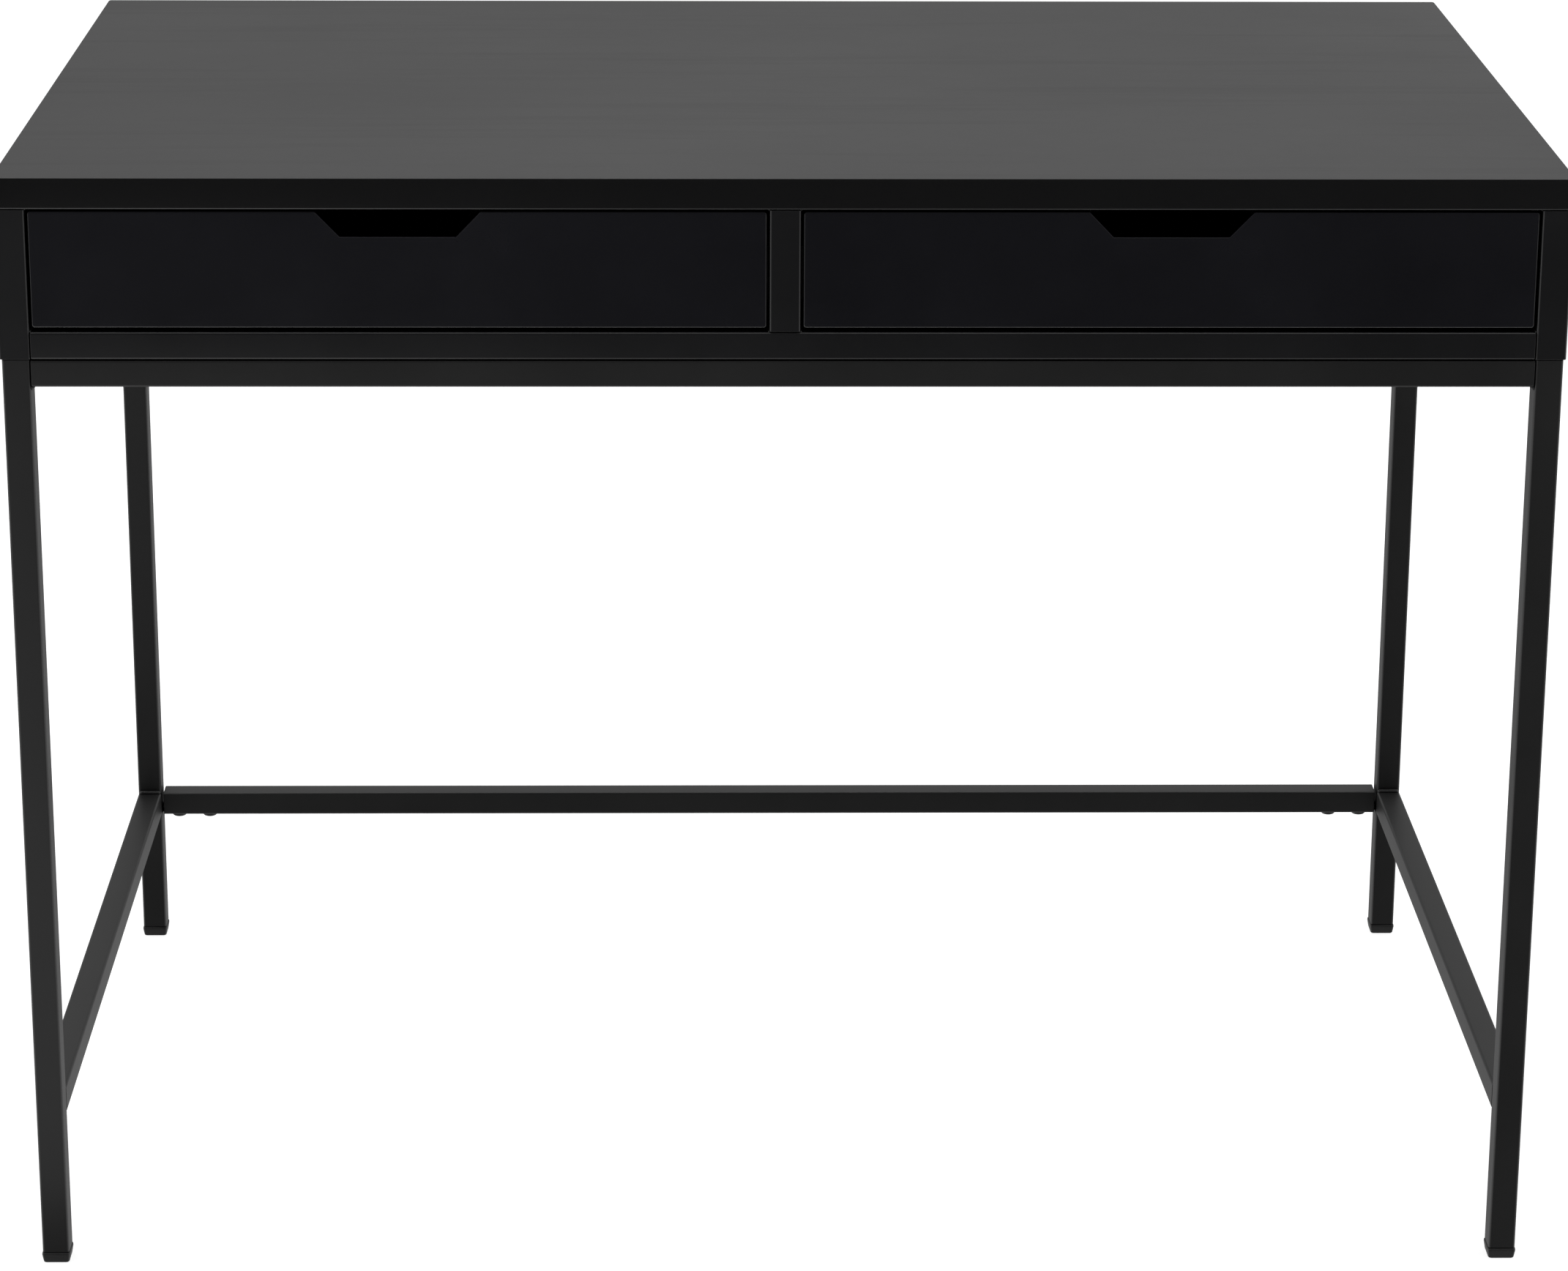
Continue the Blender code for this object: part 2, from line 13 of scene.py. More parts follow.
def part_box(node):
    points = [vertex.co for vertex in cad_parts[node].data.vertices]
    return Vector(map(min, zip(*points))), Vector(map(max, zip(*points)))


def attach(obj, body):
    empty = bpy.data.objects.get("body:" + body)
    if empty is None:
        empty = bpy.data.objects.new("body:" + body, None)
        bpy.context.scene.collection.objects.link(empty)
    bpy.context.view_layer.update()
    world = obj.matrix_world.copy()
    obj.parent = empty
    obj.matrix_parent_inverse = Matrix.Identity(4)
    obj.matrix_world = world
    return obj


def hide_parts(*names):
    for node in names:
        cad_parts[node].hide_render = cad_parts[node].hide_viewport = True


# Camera: a long lens in front of the desk, a little above it
CAMERA_PLACE = (-0.048, -3.132, 1.397)
CAMERA_LENS_MM = 105.7
CAMERA_PITCH = 0.2931
CAMERA_YAW = 0.0169
CAMERA_ROLL = 0.0046
CAMERA_SHIFT_Y = -0.09
CAMERA_REACH = 100.0

# Studio
FLOOR_RADIUS = 14.0
FLOOR_SIDES = 96
FLOOR_ALBEDO = 0.42
FLOOR_GLOW = 0.84
SOFTBOX_PLACE = (0.0, 0.3, 3.4)
SOFTBOX_SIZE = (4.2, 3.2)
SOFTBOX_POWER = 95.0
CARD_PLACE = (-0.85, -1.24, 0.004)
CARD_SIZE = (1.2, 1.72)
CARD_POWER = 3.6
BACKGROUND_SEEN = 1.0

# The light of the surroundings, by direction: an axis, where along it the light starts and where it
# is full, and how much it adds there
WORLD_TERMS = (
    ("Y", -0.15, 0.75, 0.48),  # behind the desk
    ("X", -0.40, 0.40, 0.07),  # to the right
    ("Z", 0.25, 0.85, 0.30),  # overhead
    ("Z", -0.27, -0.75, 0.42),  # below the horizon
    ("X", 0.50, 0.95, 1.3),  # far right
    ("X", -0.50, -0.95, 1.5),  # far left
)
WORLD_BASE = 0.03

# Edges: how far the raw edges of sheet and tube are rounded
SHEET_EDGE = 0.00025
TUBE_EDGE = 0.0003
RUNNER_EDGE = 0.0002
PLASTIC_EDGE = 0.0005
EDGE_ANGLE = math.radians(36)  # an edge that turns more than this is rounded
EDGE_SEGMENTS = 2
FLAT_ANGLE = math.radians(0.5)  # faces that turn less than this are merged
WELD_DISTANCE = 0.00001

# Powder coats. level and blue give the colour; the edge grey is a painted highlight along folded and raw
# edges, reach is how far it spreads from a raw edge, and the lower-edge switch keeps that painted highlight
# off the edges that face up, which lie in shade.
# A used coat is rubbed, as on a tabletop.
COATS = {
    "top": {
        "level": 0.0038,
        "blue": 1.05,
        "roughness": 0.42,
        "specular": 0.55,
        "edge_highlight": 0.035,
        "reach": 0.0011,
        "lower_edge_highlight": True,
        "used": True,
    },
    "case": {
        "level": 0.006,
        "blue": 1.10,
        "roughness": 0.34,
        "specular": 0.48,
        "edge_highlight": 0.02,
        "reach": 0.0008,
    },
    "case_front": {
        "level": 0.0055,
        "blue": 1.15,
        "roughness": 0.32,
        "specular": 0.46,
        "edge_highlight": 0.030,
        "reach": 0.0012,
        "lower_edge_highlight": True,
    },
    "drawer_front": {
        "level": 0.0055,
        "blue": 1.40,
        "roughness": 0.26,
        "specular": 0.34,
        "edge_highlight": 0.06,
        "reach": 0.0011,
        "lower_edge_highlight": True,
    },
    "drawer_box": {
        "level": 0.005,
        "blue": 1.40,
        "roughness": 0.30,
        "specular": 0.40,
        "edge_highlight": 0.03,
        "reach": 0.0007,
    },
    "frame": {
        "level": 0.008,
        "blue": 1.0,
        "roughness": 0.45,
        "specular": 0.46,
        "edge_highlight": 0.014,
        "reach": 0.0010,
    },
}
RAW_EDGE_HIGHLIGHT = 0.4  # as a share of the painted edge highlight on folded edges
SEAM_SHADE_REACH = 0.0032  # how near a neighbour has to be for painted shade to darken the coat in a seam
SEAM_SHADE_LEVEL = 0.001  # the grey of the painted shade deep in a seam
CLOUD_SHADE = 0.2  # how far clouds in the coat change its grey, as a share of it
CLOUD_GLOSS = 0.035  # and how far they change its roughness
CLOUD_SCALE = 7.0  # this scale and the next two are in repeats to the metre
PEEL_SCALE = 620.0
RIPPLE_SCALE = 95.0
PEEL_STRENGTH = 0.14
PEEL_DEPTH = 0.00003
RIPPLE_STRENGTH = 0.06
RIPPLE_DEPTH = 0.00012
TOP_SIDE_ROUGHNESS = 0.22
TOP_CLOUD_GLOSS = 0.05
TOP_STREAK_GLOSS = 0.05
TOP_RUBBED_GLOSS = 0.07  # at the top's left end, which is rubbed the most
TOP_RUBBED_SPAN = (-0.50, -0.10)  # along X

# Weld beads: the length of a fillet's legs, and the ripples along it
FRAME_BEAD = 0.0024
CASE_BEAD = 0.0010
BEAD_INSET = 0.0006  # how far a bead stops short of the faces it joins
BEAD_BITE = 0.0003  # how far its root reaches into the seam
BEAD_RIPPLE = 0.0013
BEAD_RISE = 0.09
BEAD_STEP = 0.00022
BEAD_ARC = 7
BEAD_FLAT = 0.45  # the share of a straight chamfer in its section; the rest is round

# Button-head bolts, and the smaller screws in the drawers
BOLT_HEAD = 0.0030
BOLT_HEX = 0.0040
BOLT_PITCH = 0.0010
BOLT_SHANK = 0.0030
SOCKET_DEPTH = 0.62  # as a share of the head's height
SOCKET_RIM = 0.60  # radius of the rim round the socket, as a share of the hexagon's width
CROWN = 0.68  # and of the flat crown around it
DOME_STEPS = 7
DOME_SIDE = 0.1  # the upright share of the head's height, under the dome
THREAD_DEPTH = 0.55  # as a share of the pitch
THREAD_TIP = 0.0012  # the plain length at the shank's tip
TIP_CHAMFER = 0.0007
SEAT_CHAMFER = 0.00012
DRILL_POINT = 0.0003  # how much deeper the socket's middle is than its sides
SOCKET_LIP = 0.00018  # the depth of the chamfer round the socket's mouth
SCREW_HEAD_RADIUS = 0.0034
SCREW_HEAD = 0.0016
SCREW_HEX = 0.0024
SCREW_SHANK = 0.0015
SCREW_LENGTH = 0.0024
SCREW_PITCH = 0.0006
SCREW_PLACES = (0.12, 0.50, 0.88)  # shares of the runner's length
ROUND_STEPS = 48

# Ball cages in the runners
RUNNER_SHEET = 0.0012
DRAWER_SHEET = 0.0009
BALL_CLEARANCE = 0.0001
BALL_SPACING = 0.0135
CAGE_SHEET = 0.0005
CAGE_MARGIN = 0.0005
CAGE_CHAMFER = 0.3  # as a share of its thickness
CAGE_SPANS = {"outer": (-0.075, 0.150), "inner": (-0.265, -0.045)}

# The sign of x on each side, and of y at each end
SIDES = {"left": -1, "right": 1}
ENDS = {"front": -1, "back": 1}

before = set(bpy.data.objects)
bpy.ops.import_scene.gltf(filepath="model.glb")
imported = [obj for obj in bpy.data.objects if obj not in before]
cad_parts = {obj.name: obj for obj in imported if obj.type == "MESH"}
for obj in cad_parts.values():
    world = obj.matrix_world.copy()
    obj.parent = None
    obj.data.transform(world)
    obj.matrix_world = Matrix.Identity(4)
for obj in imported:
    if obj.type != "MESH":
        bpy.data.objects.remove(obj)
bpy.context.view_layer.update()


# Camera and studio
def make_camera():
    """Sets the camera from its place, pitch, yaw and roll."""
    forward = Vector(
        (
            math.sin(CAMERA_YAW) * math.cos(CAMERA_PITCH),
            math.cos(CAMERA_YAW) * math.cos(CAMERA_PITCH),
            -math.sin(CAMERA_PITCH),
        )
    )
    level = Vector((math.cos(CAMERA_YAW), -math.sin(CAMERA_YAW), 0.0))
    upright = level.cross(forward)
    right = math.cos(CAMERA_ROLL) * level + math.sin(CAMERA_ROLL) * upright
    up = math.cos(CAMERA_ROLL) * upright - math.sin(CAMERA_ROLL) * level
    data = bpy.data.cameras.new("camera")
    data.lens = CAMERA_LENS_MM
    data.shift_y = CAMERA_SHIFT_Y
    data.clip_end = CAMERA_REACH
    camera = bpy.data.objects.new("camera", data)
    turn = Matrix((right, up, -forward)).transposed().to_4x4()
    camera.matrix_world = Matrix.Translation(CAMERA_PLACE) @ turn
    bpy.context.scene.collection.objects.link(camera)
    bpy.context.scene.camera = camera


def make_floor():
    """A round pale floor that glows a little, as a lit table does, so that shadows stay soft and light."""
    mesh = bpy.data.meshes.new("floor")
    shape = bmesh.new()
    bmesh.ops.create_circle(shape, cap_ends=True, segments=FLOOR_SIDES, radius=FLOOR_RADIUS)
    shape.to_mesh(mesh)
    shape.free()
    floor = bpy.data.objects.new("floor", mesh)
    bpy.context.scene.collection.objects.link(floor)
    paint = Finish("floor_white").use(
        Base_Color=grey(FLOOR_ALBEDO),
        Roughness=0.9,
        Specular_IOR_Level=0.1,
        Emission_Color=grey(1.0),
        Emission_Strength=FLOOR_GLOW,
    )
    mesh.materials.append(paint)
    floor.visible_glossy = False


def make_world():
    """Soft surroundings, dim in front of the desk, with a background that the camera sees as white."""
    world = bpy.data.worlds.new("studio")
    bpy.context.scene.world = world
    world.use_nodes = True
    nodes, links = world.node_tree.nodes, world.node_tree.links
    nodes.clear()

    def ramp(value, low, high, top):
        """A smooth step of the value from 0 at low to top at high."""
        step = nodes.new("ShaderNodeMapRange")
        step.interpolation_type = "SMOOTHSTEP"
        links.new(value, step.inputs["Value"])
        step.inputs["From Min"].default_value = low
        step.inputs["From Max"].default_value = high
        step.inputs["To Max"].default_value = top
        return step.outputs["Result"]

    def total(first, second):
        """The sum of two values."""
        adder = nodes.new("ShaderNodeMath")
        links.new(first, adder.inputs[0])
        links.new(second, adder.inputs[1])
        return adder.outputs["Value"]

    place = nodes.new("ShaderNodeTexCoord").outputs["Generated"]
    parts = nodes.new("ShaderNodeSeparateXYZ")
    links.new(place, parts.inputs["Vector"])
    terms = [ramp(parts.outputs[axis], low, high, top) for axis, low, high, top in WORLD_TERMS]
    level = nodes.new("ShaderNodeMath")
    links.new(reduce(total, terms), level.inputs[0])
    level.inputs[1].default_value = WORLD_BASE
    lit = nodes.new("ShaderNodeBackground")
    links.new(level.outputs["Value"], lit.inputs["Strength"])
    seen = nodes.new("ShaderNodeBackground")
    seen.inputs["Color"].default_value = grey(1.0)
    seen.inputs["Strength"].default_value = BACKGROUND_SEEN
    ray = nodes.new("ShaderNodeLightPath")
    choice = nodes.new("ShaderNodeMixShader")
    links.new(ray.outputs["Is Camera Ray"], choice.inputs["Fac"])
    links.new(lit.outputs["Background"], choice.inputs[1])
    links.new(seen.outputs["Background"], choice.inputs[2])
    output = nodes.new("ShaderNodeOutputWorld")
    links.new(choice.outputs["Shader"], output.inputs["Surface"])


def make_lamp(name, place, size, power, tilt):
    """A soft rectangular lamp that the camera doesn't see, facing down before it is tilted about X."""
    data = bpy.data.lights.new(name, "AREA")
    data.shape = "RECTANGLE"
    data.size, data.size_y = size
    data.energy = power
    lamp = bpy.data.objects.new(name, data)
    lamp.location = place
    lamp.rotation_euler = (tilt, 0.0, 0.0)
    lamp.visible_camera = False
    bpy.context.scene.collection.objects.link(lamp)


def make_lamps():
    """A wide lamp above the desk, and a dim one on the floor in front of its left half."""
    make_lamp("softbox", SOFTBOX_PLACE, SOFTBOX_SIZE, SOFTBOX_POWER, 0.0)
    make_lamp("floor_card", CARD_PLACE, CARD_SIZE, CARD_POWER, math.pi)


# Finishes
class Finish:
    """A material made of nodes: its principled shader, and short ways to add and join nodes."""

    def __init__(self, name):
        self.material = bpy.data.materials.new(name)
        self.material.use_nodes = True
        self.tree = self.material.node_tree
        self.shader = self.tree.nodes["Principled BSDF"]

    def put(self, value, socket):
        """Joins an output to a socket, or sets the socket's own value."""
        if isinstance(value, bpy.types.NodeSocket):
            self.tree.links.new(value, socket)
        else:
            socket.default_value = value

    def node(self, kind, output, settings=(), **sockets):
        """Adds a node and returns one of its outputs. Sockets are given by name, with _ for a space."""
        made = self.tree.nodes.new(kind)
        for name, value in dict(settings).items():
            setattr(made, name, value)
        for name, value in sockets.items():
            self.put(value, made.inputs[name.replace("_", " ")])
        return made.outputs[output]

    def place(self):
        """Coordinates that ride with the piece, in metres."""
        return self.node("ShaderNodeTexCoord", "Object")

    def stretched(self, scale):
        """Those coordinates, scaled along each axis."""
        return self.node("ShaderNodeMapping", "Vector", Vector=self.place(), Scale=scale)

    def part(self, vector, axis):
        """One part of a vector."""
        return self.node("ShaderNodeSeparateXYZ", axis, Vector=vector)

    def noise(self, vector, scale, detail=3.0, roughness=0.55):
        """Noise from 0 to 1 with a scale in repeats to the metre."""
        return self.node(
            "ShaderNodeTexNoise", "Fac", Vector=vector, Scale=scale, Detail=detail, Roughness=roughness
        )

    def spread(self, value, low, high, start, end):
        """Maps low..high onto start..end, clamped."""
        made = self.tree.nodes.new("ShaderNodeMapRange")
        self.put(value, made.inputs["Value"])
        for name, number in (("From Min", low), ("From Max", high), ("To Min", start), ("To Max", end)):
            made.inputs[name].default_value = number
        return made.outputs["Result"]

    def maths(self, operation, first, second=0.0):
        """One sum on two values."""
        made = self.tree.nodes.new("ShaderNodeMath")
        made.operation = operation
        self.put(first, made.inputs[0])
        self.put(second, made.inputs[1])
        return made.outputs["Value"]

    def blend(self, amount, first, second):
        """Mixes two colours. A Mix node's colours are its inputs 6 and 7 and its output 2."""
        made = self.tree.nodes.new("ShaderNodeMix")
        made.data_type = "RGBA"
        self.put(amount, made.inputs[0])
        self.put(first, made.inputs[6])
        self.put(second, made.inputs[7])
        return made.outputs[2]

    def between(self, amount, first, second):
        """Mixes two numbers."""
        made = self.tree.nodes.new("ShaderNodeMix")
        for socket, value in zip(("Factor", "A", "B"), (amount, first, second)):
            self.put(value, made.inputs[socket])
        return made.outputs["Result"]

    def bump(self, height, strength, depth, normal=None):
        """A bump of that depth in metres, over another bump if one is given."""
        made = self.tree.nodes.new("ShaderNodeBump")
        made.inputs["Strength"].default_value = strength
        made.inputs["Distance"].default_value = depth
        self.put(height, made.inputs["Height"])
        if normal is not None:
            self.put(normal, made.inputs["Normal"])
        return made.outputs["Normal"]

    def edges(self, reach):
        """From 0 on flat faces to 1 along edges, fading over that reach."""
        rounded = self.node("ShaderNodeBevel", "Normal", {"samples": 8}, Radius=reach)
        flat = self.node("ShaderNodeNewGeometry", "Normal")
        made = self.tree.nodes.new("ShaderNodeVectorMath")
        made.operation = "DOT_PRODUCT"
        self.put(rounded, made.inputs[0])
        self.put(flat, made.inputs[1])
        return self.spread(self.maths("ABSOLUTE", made.outputs["Value"]), 0.995, 0.92, 0.0, 1.0)

    def folds(self):
        """From 0 where a surface faces along an axis to 1 where it turns a rounded corner."""
        facing = self.node("ShaderNodeTexCoord", "Normal")
        turned = [self.maths("ABSOLUTE", self.part(facing, axis)) for axis in ("X", "Y", "Z")]
        most = self.maths("MAXIMUM", self.maths("MAXIMUM", turned[0], turned[1]), turned[2])
        return self.spread(most, 0.985, 0.90, 0.0, 1.0)

    def downward(self):
        """1 where a surface faces down, a half where it is upright, and 0 where it faces up."""
        facing = self.part(self.node("ShaderNodeTexCoord", "Normal"), "Z")
        return self.spread(facing, 0.05, -0.05, 0.0, 1.0)

    def unshaded_by_seams(self):
        """From 0 deep in a seam between two pieces to 1 on open faces; it sets where the coat gets painted
        shade.
        """
        reached = self.node("ShaderNodeAmbientOcclusion", "AO", {"samples": 8}, Distance=SEAM_SHADE_REACH)
        return self.spread(reached, 0.5, 0.95, 0.0, 1.0)

    def use(self, **sockets):
        """Sets or joins the shader's sockets and returns the material."""
        for name, value in sockets.items():
            self.put(value, self.shader.inputs[name.replace("_", " ")])
        return self.material


def grey(level, blue=1.0):
    """A near-neutral colour with its blue raised or lowered."""
    return (level, level, level * blue, 1.0)


def powder_coat(name, level, blue, roughness, specular, edge_highlight, reach, lower_edge_highlight=False, used=False):
    """Satin black powder coat: fine orange peel, cloudy gloss, painted shade in seams, and edges lightened
    by a painted highlight.
    """
    coat = Finish(name)
    place = coat.place()
    clouds = coat.noise(place, CLOUD_SCALE, 5.0, 0.6)
    peel = coat.noise(place, PEEL_SCALE, 2.0)
    ripple = coat.noise(place, RIPPLE_SCALE, 2.0)
    # Painted highlight: a lighter grey along raw and folded edges stands in for the light that rounded
    # edges catch.
    raw_edges = coat.maths("MULTIPLY", coat.edges(reach), RAW_EDGE_HIGHLIGHT)
    edges = coat.maths("MAXIMUM", raw_edges, coat.folds())
    # The painted highlight is kept to edges that face down, because the edges that face up lie in shade.
    if lower_edge_highlight:
        edges = coat.maths("MULTIPLY", edges, coat.downward())
    clear = coat.unshaded_by_seams()
    shade = coat.spread(clouds, 0.3, 0.7, 0.0, 1.0)
    body = coat.blend(
        shade, grey(level * (1.0 - CLOUD_SHADE), blue), grey(level * (1.0 + CLOUD_SHADE), blue)
    )
    # Painted shade: deep in seams the coat's colour turns dark grey and its shine is taken away.
    colour = coat.blend(clear, grey(SEAM_SHADE_LEVEL), coat.blend(edges, body, grey(edge_highlight)))
    shine = coat.maths("MULTIPLY", clear, specular)
    gloss = coat.spread(clouds, 0.25, 0.75, roughness - CLOUD_GLOSS, roughness + CLOUD_GLOSS)
    if used:
        gloss = used_top(coat, gloss)
    peeled = coat.bump(peel, PEEL_STRENGTH, PEEL_DEPTH)
    normal = coat.bump(ripple, RIPPLE_STRENGTH, RIPPLE_DEPTH, peeled)
    return coat.use(Base_Color=colour, Roughness=gloss, Specular_IOR_Level=shine, Normal=normal)


def used_top(coat, gloss):
    """A tabletop's roughness: rubbed in broad clouds and faint streaks, and smooth down its sides."""
    broad = coat.noise(coat.stretched((1.5, 2.6, 1.0)), 1.0, 2.0, 0.5)
    wiped = coat.noise(coat.stretched((2.2, 34.0, 34.0)), 1.0, 4.0, 0.6)
    along = coat.part(coat.place(), "X")
    for rubbing in (
        coat.spread(broad, 0.3, 0.7, -TOP_CLOUD_GLOSS, TOP_CLOUD_GLOSS),
        coat.spread(wiped, 0.52, 0.74, 0.0, TOP_STREAK_GLOSS),
        coat.spread(along, *TOP_RUBBED_SPAN, TOP_RUBBED_GLOSS, 0.0),
    ):
        gloss = coat.maths("ADD", gloss, rubbing)
    facing = coat.part(coat.node("ShaderNodeTexCoord", "Normal"), "Z")
    level = coat.spread(facing, 0.3, 0.9, 0.0, 1.0)
    return coat.between(level, TOP_SIDE_ROUGHNESS, gloss)


def rolled_black_zinc():
    """Black zinc plate on rolled steel: drawn lines along the runner and a patchy sheen."""
    plate = Finish("rolled_black_zinc_plate")
    lines = plate.noise(plate.stretched((900.0, 14.0, 900.0)), 1.0, 3.0)
    patches = plate.noise(plate.place(), 60.0, 4.0)
    colour = plate.blend(
        plate.spread(patches, 0.3, 0.7, 0.0, 1.0), (0.018, 0.018, 0.020, 1.0), (0.040, 0.040, 0.043, 1.0)
    )
    gloss = plate.spread(lines, 0.3, 0.7, 0.26, 0.42)
    return plate.use(
        Base_Color=colour, Metallic=0.5, Roughness=gloss, Normal=plate.bump(lines, 0.25, 0.00002)
    )


def polished_balls():
    """Hardened steel balls with a trace of grease."""
    steel = Finish("ball_steel")
    film = steel.noise(steel.place(), 400.0, 3.0)
    return steel.use(
        Base_Color=steel.blend(film, (0.60, 0.60, 0.61, 1.0), (0.72, 0.72, 0.72, 1.0)),
        Metallic=1.0,
        Roughness=steel.spread(film, 0.3, 0.7, 0.08, 0.2),
    )


def black_zinc():
    """Black zinc plate on bolts: dark, slightly glossy and uneven."""
    plate = Finish("black_zinc_plate")
    patches = plate.noise(plate.place(), 260.0, 4.0)
    fine = plate.noise(plate.place(), 2400.0, 2.0)
    return plate.use(
        Base_Color=plate.blend(patches, grey(0.014), grey(0.030)),
        Metallic=0.35,
        Roughness=plate.spread(patches, 0.3, 0.7, 0.28, 0.42),
        Normal=plate.bump(fine, 0.15, 0.00002),
    )


def black_plastic():
    """Moulded black polythene with a fine spark-eroded grain."""
    plastic = Finish("moulded_black_plastic")
    grain = plastic.noise(plastic.place(), 1900.0, 2.0)
    clouds = plastic.noise(plastic.place(), 120.0, 3.0)
    return plastic.use(
        Base_Color=plastic.blend(clouds, grey(0.008), grey(0.014)),
        Roughness=plastic.spread(clouds, 0.3, 0.7, 0.42, 0.56),
        Normal=plastic.bump(grain, 0.35, 0.00004),
    )


# CAD pieces: their own shape, with rounded raw edges and a finish
def round_edges(node, width):
    """Joins the loose corners of a CAD mesh, rounds its sharp edges and shades it smoothly."""
    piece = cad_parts[node]
    mesh = piece.data
    normals = mesh.attributes.get("custom_normal")
    if normals is not None:
        mesh.attributes.remove(normals)
    for face in mesh.polygons:
        face.use_smooth = True
    weld = piece.modifiers.new("join_corners", "WELD")
    weld.merge_threshold = WELD_DISTANCE
    flats = piece.modifiers.new("merge_flats", "DECIMATE")
    flats.decimate_type = "DISSOLVE"
    flats.angle_limit = FLAT_ANGLE
    bevel = piece.modifiers.new("round_edges", "BEVEL")
    bevel.width = width
    bevel.segments = EDGE_SEGMENTS
    bevel.limit_method = "ANGLE"
    bevel.angle_limit = EDGE_ANGLE
    piece.modifiers.new("smooth_normals", "WEIGHTED_NORMAL")


def finish_node(node, material, width):
    """Gives a CAD node its finish and rounded edges."""
    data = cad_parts[node].data
    data.materials.clear()
    data.materials.append(material)
    round_edges(node, width)


def node_finish(node, finishes):
    """The finish and edge width of a CAD node, from its name."""
    if "_profile" in node:
        return finishes["zinc"], RUNNER_EDGE
    if node.startswith("foot_cap"):
        return finishes["plastic"], PLASTIC_EDGE
    if "_bolt_" in node:
        return finishes["bolt"], RUNNER_EDGE
    if node.endswith("drawer_front"):
        return finishes["drawer_front"], SHEET_EDGE
    if "_drawer_" in node:
        return finishes["drawer_box"], SHEET_EDGE
    if node.startswith(("front_post", "case_front")):
        return finishes["case_front"], SHEET_EDGE
    if node == "tabletop":
        return finishes["top"], SHEET_EDGE
    if node.startswith(("leg_", "frame_rail", "side_rung", "back_rung", "rung_tab")):
        return finishes["frame"], TUBE_EDGE
    return finishes["case"], SHEET_EDGE


def finish_cad(finishes):
    """Finishes every CAD node."""
    for node in sorted(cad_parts):
        material, width = node_finish(node, finishes)
        finish_node(node, material, width)


# New pieces
def add_piece(name, shape, materials, body):
    """Makes a shape into a smooth piece that rides on a body."""
    bmesh.ops.recalc_face_normals(shape, faces=shape.faces)
    mesh = bpy.data.meshes.new(name)
    shape.to_mesh(mesh)
    shape.free()
    for face in mesh.polygons:
        face.use_smooth = True
    for material in materials:
        mesh.materials.append(material)
    piece = bpy.data.objects.new(name, mesh)
    bpy.context.scene.collection.objects.link(piece)
    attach(piece, body)
    return piece


def loft(shape, rings):
    """Skins rings of points in order. A ring of one point closes an end as a fan."""
    corners = [[shape.verts.new(point) for point in ring] for ring in rings]
    for low, high in zip(corners, corners[1:]):
        count = max(len(low), len(high))
        for i in range(count):
            after = i + 1
            loop = [low[i % len(low)], low[after % len(low)], high[after % len(high)], high[i % len(high)]]
            shape.faces.new(list(dict.fromkeys(loop)))


def add_bead(shape, start, end, across, upright, size):
    """A rippled fillet weld along an inside corner. across and upright point away along its faces."""
    start, end, across, upright = (Vector(item) for item in (start, end, across, upright))
    run = end - start
    count = round(run.length / BEAD_STEP)
    rings = [[start]]
    for i in range(1, count):
        along = run.length * i / count
        reach = min(1.0, min(along, run.length - along) / size)
        ease = math.sqrt(1.0 - (1.0 - reach) ** 2)
        corner = start + run * (i / count)
        ring = [corner - (across + upright) * BEAD_BITE]
        for j in range(BEAD_ARC + 1):
            angle = math.pi / 2 * j / BEAD_ARC
            chamfer = 1.0 / (math.cos(angle) + math.sin(angle))
            phase = (along + 0.5 * size * math.sin(2.0 * angle)) / BEAD_RIPPLE
            rise = BEAD_RISE * abs(math.sin(math.pi * phase)) * math.sin(2.0 * angle)
            radius = size * ease * (BEAD_FLAT * chamfer + 1.0 - BEAD_FLAT + rise)
            ring.append(corner + across * math.cos(angle) * radius + upright * math.sin(angle) * radius)
        rings.append(ring)
    rings.append([end])
    loft(shape, rings)


def frame_welds(end, side, material):
    """The beads at one leg: under the two rails at its top, and above and below the side rung."""
    leg_low, leg_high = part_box(f"leg_{end}_{side}")
    rail_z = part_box(f"frame_rail_{end}")[0].z
    rung_low, rung_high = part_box(f"side_rung_{side}")
    inward_x = Vector((-SIDES[side], 0.0, 0.0))
    inward_y = Vector((0.0, -ENDS[end], 0.0))
    face_x = leg_low.x if side == "right" else leg_high.x
    face_y = leg_low.y if end == "back" else leg_high.y
    up = Vector((0.0, 0.0, 1.0))
    span_y = (leg_low.y + BEAD_INSET, leg_high.y - BEAD_INSET)
    span_x = (leg_low.x + BEAD_INSET, leg_high.x - BEAD_INSET)
    shape = bmesh.new()
    start = (face_x, span_y[0], rail_z)
    end_point = (face_x, span_y[1], rail_z)
    add_bead(shape, start, end_point, inward_x, -up, FRAME_BEAD)
    for z, out in ((rail_z, -up), (rung_low.z, -up), (rung_high.z, up)):
        add_bead(shape, (span_x[0], face_y, z), (span_x[1], face_y, z), inward_y, out, FRAME_BEAD)
    add_piece(f"welds_leg_{end}_{side}", shape, [material], "desk")


